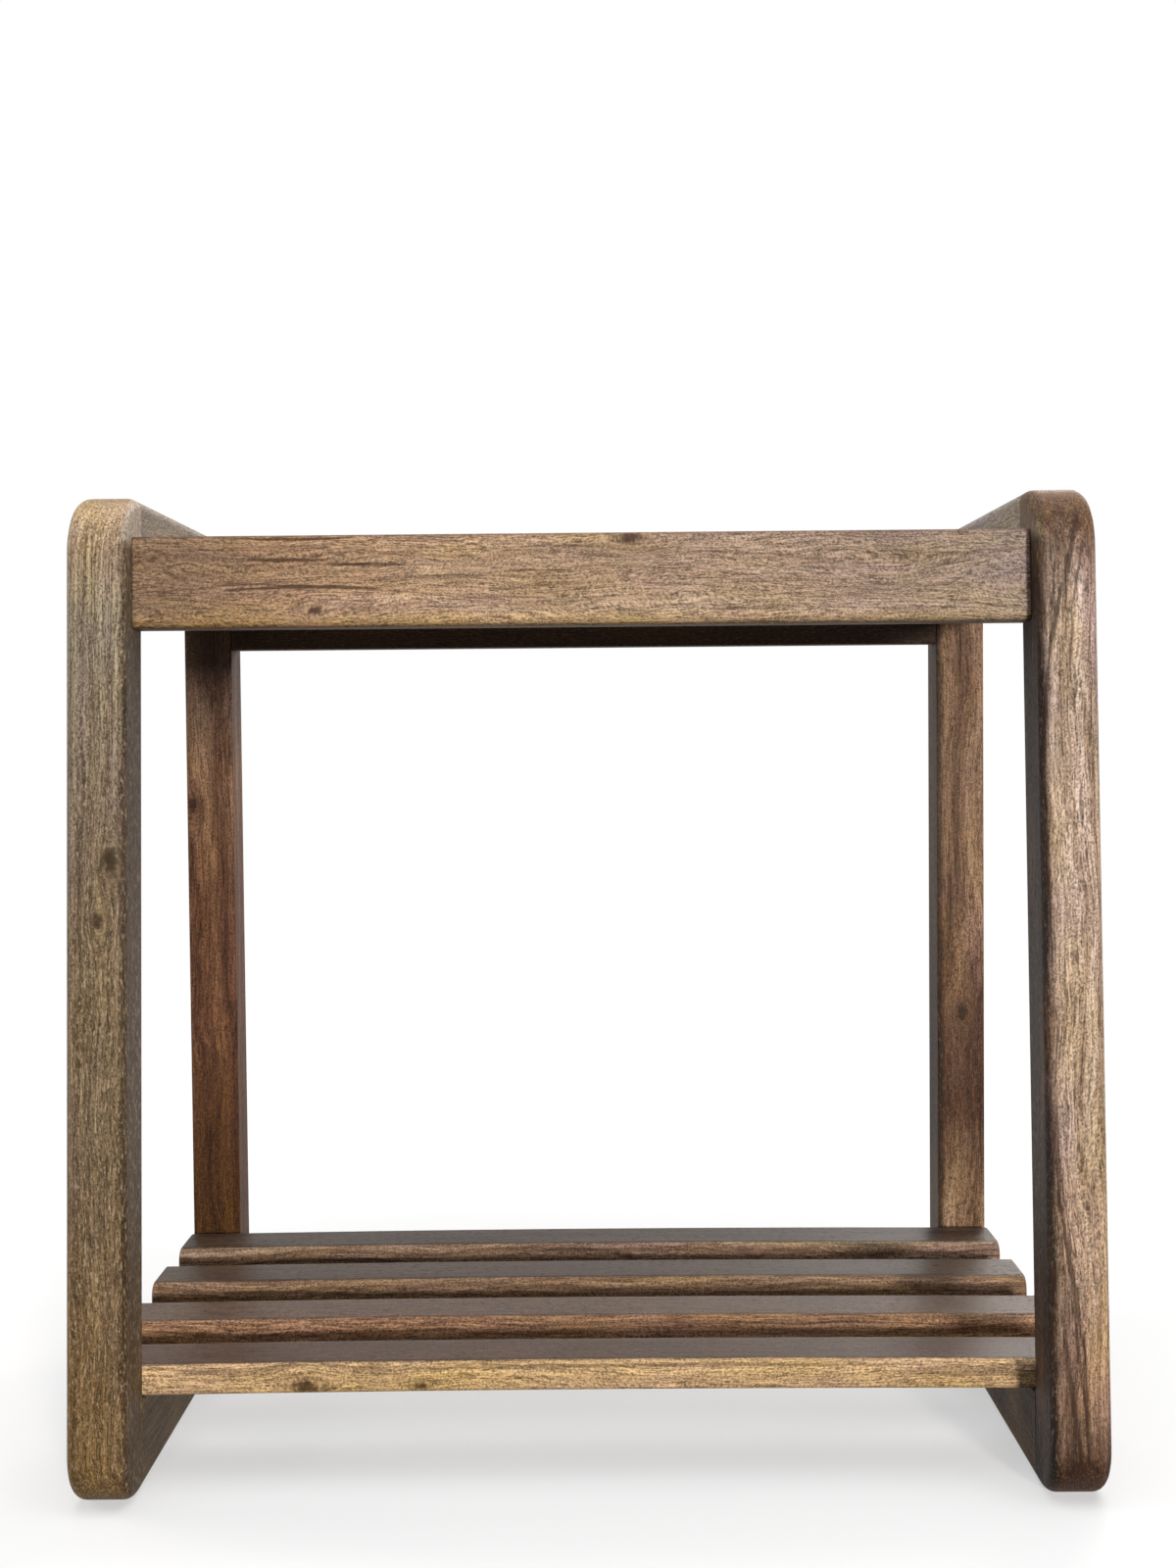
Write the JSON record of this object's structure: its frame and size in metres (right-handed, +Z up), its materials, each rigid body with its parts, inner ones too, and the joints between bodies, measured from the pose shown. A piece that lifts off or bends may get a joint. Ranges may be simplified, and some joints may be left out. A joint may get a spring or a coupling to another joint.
{
  "type": "bench",
  "caption": "Small slatted wooden bench: rounded, slightly splayed side frames, aprons, slatted seat and a low slatted shelf.",
  "frame": {"origin": "centre of the footprint, at floor level", "axes": "+X along the seat to the right as seen from the front, +Y from front to back, +Z up"},
  "size_m": [0.46, 0.275, 0.452],
  "materials": {
    "front_post_wood": "greyish tan oiled hardwood, satin, fine pores",
    "rear_post_wood": "reddish brown oiled hardwood, satin, fine checks",
    "rail_wood": "brown oiled hardwood, satin",
    "apron_wood": "warm tan oiled hardwood, satin, dark pore dashes",
    "slat_wood": "mixed brown oiled hardwood, satin, rounded edges",
    "cleat_wood": "plain brown hardwood, lightly oiled",
    "loose_tenon_wood": "plain pale hardwood"
  },
  "bodies": {
    "root": {"left_front_post": "front_post_wood", "left_rear_post": "rear_post_wood", "left_top_rail": "rail_wood", "left_bottom_rail": "rail_wood", "left_seat_cleat": "cleat_wood", "right_front_post": "front_post_wood", "right_rear_post": "rear_post_wood", "right_top_rail": "rail_wood", "right_bottom_rail": "rail_wood", "right_seat_cleat": "cleat_wood", "front_apron": "apron_wood", "rear_apron": "apron_wood", "shelf_slat_1": "slat_wood", "seat_slat_1": "slat_wood", "shelf_slat_2": "slat_wood", "seat_slat_2": "slat_wood", "shelf_slat_3": "slat_wood", "seat_slat_3": "slat_wood", "shelf_slat_4": "slat_wood", "seat_slat_4": "slat_wood", "shelf_loose_tenons": "loose_tenon_wood", "seat_loose_tenons": "loose_tenon_wood"}
  },
  "joints": []
}
